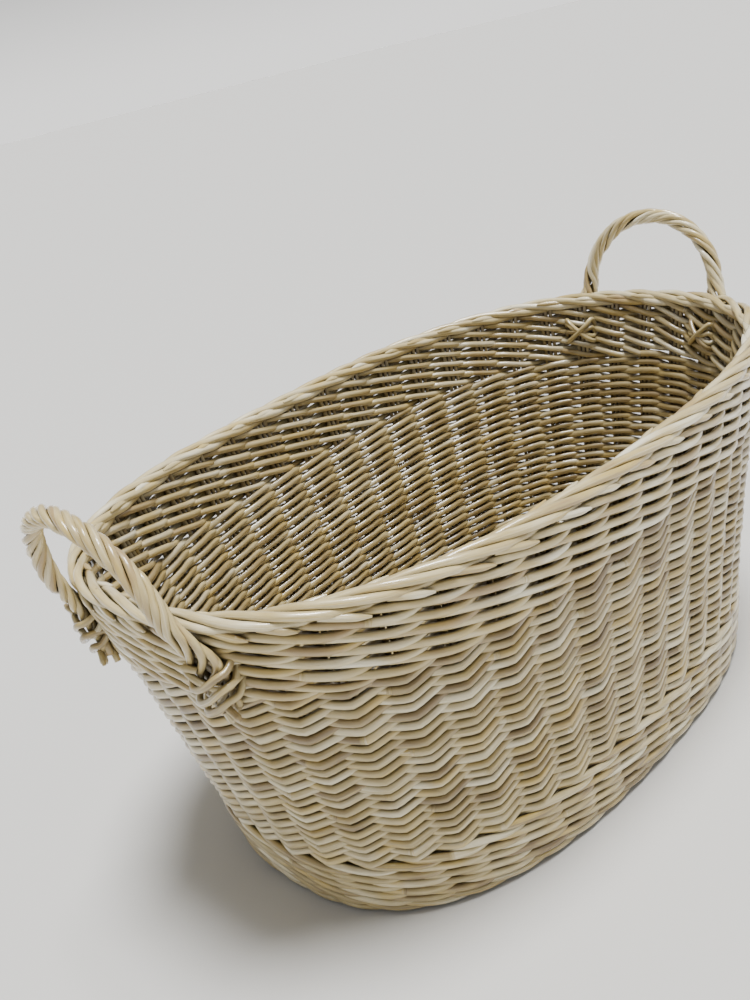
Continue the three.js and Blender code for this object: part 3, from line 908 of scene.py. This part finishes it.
class BASKET_OT_siding(bpy.types.Operator):
    """Twines the siding in three parts, row by row, between the foot and the top waling"""

    bl_idname = "basket.siding"
    bl_label = "Siding"

    def execute(self, context):
        weave = context.scene.basket_weave
        pitch = (WALE_LOW.z - FOOT_HIGH.z) / weave.siding_rows
        parts = 3
        rows = weave.siding_rows / parts
        for part, name in enumerate(("siding_lower", "siding_middle", "siding_upper")):
            piece = plain_piece(name, "Woven band", {
                "Rows": rows, "First Height": FOOT_HIGH.z + pitch * (0.5 + part * rows), "Row Pitch": pitch,
                "Rods": 2, "Over": 1, "Rod Radius": weave.siding_rod / 2, "Reach": weave.siding_reach,
                "Sag": weave.siding_sag, "Lay": 1.2 * MM, "Straightness": 1.0, "Taper": 0.22,
                "Rod Stakes": 14.0, "Steps": 8, "Sides": 8,
                "Unevenness": 1.1 * MM, "Seed": 11 + part,
                "Material": bpy.data.materials["willow_peeled_lacquered"]})
            settle(piece, "willow_siding", "siding_weave")
        return {"FINISHED"}


class BASKET_OT_waling(bpy.types.Operator):
    """Lays the three-rod waling of the top band and of the foot, and the rolled edge on the floor"""

    bl_idname = "basket.waling"
    bl_label = "Waling bands"

    def execute(self, context):
        weave = context.scene.basket_weave
        pale = bpy.data.materials["willow_pale_glossy"]
        peeled = bpy.data.materials["willow_peeled_lacquered"]
        shared = {"Rods": 3, "Over": 2, "Sag": 0.0, "Straightness": 0.0, "Late": 0.3, "Taper": 0.2,
                  "Rod Stakes": 16.0, "Steps": 8, "Sides": 10, "Unevenness": 0.9 * MM, "Material": pale}
        pitch = (WALE_HIGH.z - WALE_LOW.z) / weave.wale_rows
        piece = plain_piece("top_waling", "Woven band", {
            **shared, "Rows": float(weave.wale_rows), "First Height": WALE_LOW.z + pitch / 2, "Row Pitch": pitch,
            "Rod Radius": weave.wale_rod / 2, "Reach": 5.8 * MM, "Lay": -5.0 * MM, "Seed": 21})
        settle(piece, "willow_wale", "top_wale")
        low = weave.foot_border
        pitch = (FOOT_HIGH.z - low) / weave.foot_rows
        piece = plain_piece("foot_waling", "Woven band", {
            **shared, "Rows": float(weave.foot_rows), "First Height": low + pitch / 2, "Row Pitch": pitch,
            "Rod Radius": weave.foot_rod / 2, "Reach": 5.0 * MM, "Lay": -3.6 * MM, "Seed": 31,
            "Material": peeled})
        settle(piece, "willow_foot", "foot_wale")
        radius = weave.foot_border * FOOT_ROD_SHARE
        piece = plain_piece("foot_border", "Rolled border", {
            "Height": weave.foot_border / 2 + 0.6 * MM, "Rods": 4, "Roll Width": 4.8 * MM,
            "Roll Height": weave.foot_border / 2 - radius, "Rod Radius": radius, "Unevenness": 0.5 * MM, "Seed": 33,
            "Wave": 0.0, "Material": peeled})
        settle(piece, "willow_foot", "foot_wale")
        return {"FINISHED"}


class BASKET_OT_border(bpy.types.Operator):
    """Rolls the rim border and lays its trimmed ends"""

    bl_idname = "basket.border"
    bl_label = "Rim border"

    def execute(self, context):
        weave = context.scene.basket_weave
        pale = bpy.data.materials["willow_pale_glossy"]
        radius = weave.border_rod / 2
        half_height = (BORDER_HIGH.z - BORDER_LOW.z) / 2
        middle = BORDER_LOW.z + half_height
        piece = plain_piece("rim_border_roll", "Rolled border", {
            "Height": middle, "Rods": 4, "Roll Width": BORDER_THICKNESS / 2 - radius,
            "Roll Height": half_height - radius, "Rod Radius": radius, "Steps": 10, "Unevenness": 1.0 * MM,
            "Seed": 41, "Material": pale})
        settle(piece, "willow_border", "rim_border")
        shared = {"Rod Radius": radius * 0.86, "Material": pale}
        piece = plain_piece("rim_ends_inside", "Trimmed ends", {
            **shared, "First Stake": -0.6, "Run": 0.75, "Height": BORDER_LOW.z + 7 * MM, "Rise": 4 * MM,
            "Offset": -2.5 * MM, "Out Run": -5.5 * MM, "Seed": 43})
        settle(piece, "willow_border", "rim_border")
        piece = plain_piece("rim_ends_outside", "Trimmed ends", {
            **shared, "First Stake": 0.1, "Run": 0.7, "Height": BORDER_LOW.z + 5 * MM, "Rise": -6 * MM,
            "Offset": 4 * MM, "Out Run": 5 * MM, "Seed": 45})
        settle(piece, "willow_border", "rim_border")
        return {"FINISHED"}


class BASKET_OT_stakes(bpy.types.Operator):
    """Stands the stakes, three rods to each, from the base up into the border"""

    bl_idname = "basket.stakes"
    bl_label = "Stakes"

    def execute(self, context):
        weave = context.scene.basket_weave
        spacing = weave.stake_rod * 1.04 * STAKE_COUNT / OVAL_LENGTHS[-1]
        piece = plain_piece("stakes", "Stakes", {
            "Bottom": BASE_LOW.z + 4 * MM, "Top": BORDER_LOW.z + 6 * MM, "Group": 3, "Spacing": spacing,
            "Rod Radius": weave.stake_rod / 2, "Seed": 51,
            "Material": bpy.data.materials["willow_stake_browned"]})
        settle(piece, "willow_stake", *STAKES)
        return {"FINISHED"}


class BASKET_OT_base(bpy.types.Operator):
    """Weaves the base round its sticks"""

    bl_idname = "basket.base"
    bl_label = "Base"

    def execute(self, context):
        peeled = bpy.data.materials["willow_peeled_lacquered"]
        middle = (BASE_LOW.z + BASE_HIGH.z) / 2
        piece = plain_piece("base_rounds", "Woven base", {
            "Height": middle, "Wave Height": 3.2 * MM, "Seed": 61, "Wander": 0.0, "Wave": 0.0, "Material": peeled})
        settle(piece, "willow_base", "base_weave")
        low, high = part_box("base_sticks")
        paths = []
        for y in (-0.005, 0.005):
            paths.append([Vector((low.x + (high.x - low.x) * i / 8, y, middle)) for i in range(9)])
        for x in (-0.75, -0.5, -0.25, 0.25, 0.5, 0.75):
            half = high.y * (1 - abs(x) ** 3 * 0.35)
            paths.append([Vector((high.x * x, half * (i / 4 - 1), middle)) for i in range(9)])
        thicknesses = [1.0 for path in paths for point in path]
        piece = plain_piece("base_stick_rods", "Laid rods", {
            "Rod Radius": 3.0 * MM, "Sides": 10, "Seed": 63, "Material": bpy.data.materials["willow_stake_browned"]},
            rod_guides("base_stick_rods", paths, thicknesses))
        settle(piece, "willow_base", "base_sticks")
        return {"FINISHED"}


class BASKET_OT_handles(bpy.types.Operator):
    """Twists the two handles and lays their legs down the outside of the waling"""

    bl_idname = "basket.handles"
    bl_label = "Handles"

    def execute(self, context):
        weave = context.scene.basket_weave
        handles = (("handle_right", weave.handle_turns), ("handle_left", weave.left_handle_turns))
        for end, (node, turns) in enumerate(handles):
            radius = weave.handle_thickness * HANDLE_ROD_SHARE
            piece = plain_piece(f"{node}_rods", "Twisted handle", {
                "Rods": weave.handle_rods, "Turns": turns,
                "Rope Radius": weave.handle_thickness / 2 - radius, "Rod Radius": radius, "Leg Share": 0.24,
                "Leg Width": 9.8 * MM, "Steps": 130, "Seed": 71 + end,
                "Material": bpy.data.materials["willow_pale_glossy"]}, handle_guide(end, weave))
            settle(piece, "willow_handle", node)
        return {"FINISHED"}


class BASKET_OT_ties(bpy.types.Operator):
    """Lashes each handle leg to the waling"""

    bl_idname = "basket.ties"
    bl_label = "Handle lashings"

    def execute(self, context):
        weave = context.scene.basket_weave
        half = STAKE_COUNT / 2
        stakes = (-HANDLE_STAKE, HANDLE_STAKE, half - HANDLE_STAKE, half + HANDLE_STAKE)
        for number, stake in enumerate(stakes, start=1):
            paths = tie_paths(stake)
            thicknesses = []
            for path in paths:
                is_tail = len(path) < 20
                thicknesses += [1.0 if not is_tail or i < len(path) - 2 else 0.6 for i in range(len(path))]
            name = f"handle_lashing_{number}"
            piece = plain_piece(name, "Laid rods", {
                "Rod Radius": 2.5 * MM, "Sides": 9, "Seed": 80 + number,
                "Material": bpy.data.materials["willow_peeled_lacquered"]}, rod_guides(name, paths, thicknesses))
            settle(piece, "willow_tie", f"handle_tie_{number}")
        return {"FINISHED"}


class BASKET_OT_studio(bpy.types.Operator):
    """Lays the floor and sets the lights and the camera"""

    bl_idname = "basket.studio"
    bl_label = "Studio"

    def execute(self, context):
        studio = context.scene.basket_studio
        scene = context.scene
        mesh = bpy.data.meshes.new("studio_floor")
        corners = [(x * FLOOR_HALF, y * FLOOR_HALF, 0) for x, y in ((-1, -1), (1, -1), (1, 1), (-1, 1))]
        mesh.from_pydata(corners, [], [(0, 1, 2, 3)])
        mesh.materials.append(studio_paper())
        floor = bpy.data.objects.new("studio_floor", mesh)
        scene.collection.objects.link(floor)

        key = bpy.data.lights.new("key", "SUN")
        key.energy = studio.key_power
        key.angle = math.radians(20.0)
        fill = bpy.data.lights.new("fill", "AREA")
        fill.energy = studio.fill_power
        fill.shape = "DISK"
        fill.size = 1.2
        for data, place in ((key, KEY_PLACE), (fill, FILL_PLACE)):
            lamp = bpy.data.objects.new(data.name, data)
            lamp.location = place
            aim = Vector(LIGHT_AIM) - Vector(place)
            lamp.rotation_euler = aim.to_track_quat("-Z", "Y").to_euler()
            scene.collection.objects.link(lamp)

        # An even sky, much brighter at the horizon so that it meets the floor without a line.
        world = bpy.data.worlds.new("studio_world")
        world.use_nodes = True
        tree = world.node_tree
        tree.nodes.clear()
        direction = add_node(tree, "ShaderNodeTexCoord").outputs["Generated"]
        parts = add_node(tree, "ShaderNodeSeparateXYZ", inputs={0: direction})
        strength = add_node(tree, "ShaderNodeMapRange", {"interpolation_type": "SMOOTHSTEP"},
                            {"Value": parts.outputs[2], "From Min": 0.0, "From Max": 0.2,
                             "To Min": studio.sky * 3.45, "To Max": studio.sky * 0.95})
        backdrop = add_node(tree, "ShaderNodeBackground",
                            inputs={"Color": linear("#f4f3f1"), "Strength": strength.outputs[0]})
        add_node(tree, "ShaderNodeOutputWorld", inputs={"Surface": backdrop.outputs[0]})
        scene.world = world

        data = bpy.data.cameras.new("camera")
        data.lens = studio.lens
        data.sensor_width = 36.0
        camera = bpy.data.objects.new("camera", data)
        turn = Matrix((CAMERA_RIGHT, -Vector(CAMERA_DOWN), -Vector(CAMERA_FORWARD))).transposed().to_4x4()
        camera.matrix_world = Matrix.Translation(CAMERA_PLACE) @ turn
        scene.collection.objects.link(camera)
        scene.camera = camera
        return {"FINISHED"}


class BASKET_PT_sidebar(bpy.types.Panel):
    """Lists the basket's pieces and settings"""

    bl_idname = "BASKET_PT_sidebar"
    bl_label = "Willow Basket"
    bl_space_type = "VIEW_3D"
    bl_region_type = "UI"
    bl_category = "Basket"

    def draw(self, context):
        for group in (context.scene.basket_weave, context.scene.basket_studio):
            column = self.layout.column()
            for name in group.__annotations__:
                column.prop(group, name)
        for operator in OPERATORS:
            self.layout.operator(operator.bl_idname)


OPERATORS = (BASKET_OT_prepare, BASKET_OT_studio, BASKET_OT_base, BASKET_OT_stakes, BASKET_OT_waling,
             BASKET_OT_siding, BASKET_OT_border, BASKET_OT_handles, BASKET_OT_ties)
CLASSES = (BasketWeave, BasketStudio) + OPERATORS + (BASKET_PT_sidebar,)


def register():
    """Adds the classes and their settings to Blender."""
    for item in CLASSES:
        bpy.utils.register_class(item)
    bpy.types.Scene.basket_weave = bpy.props.PointerProperty(type=BasketWeave)
    bpy.types.Scene.basket_studio = bpy.props.PointerProperty(type=BasketStudio)


def unregister():
    """Takes the classes and their settings out of Blender."""
    del bpy.types.Scene.basket_studio
    del bpy.types.Scene.basket_weave
    for item in reversed(CLASSES):
        bpy.utils.unregister_class(item)


def main():
    """Makes the whole basket."""
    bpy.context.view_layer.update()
    register()
    bpy.ops.basket.prepare()
    bpy.ops.basket.studio()
    bpy.ops.basket.base()
    bpy.ops.basket.stakes()
    bpy.ops.basket.waling()
    bpy.ops.basket.siding()
    bpy.ops.basket.border()
    bpy.ops.basket.handles()
    bpy.ops.basket.ties()


if __name__ == "__main__":
    main()
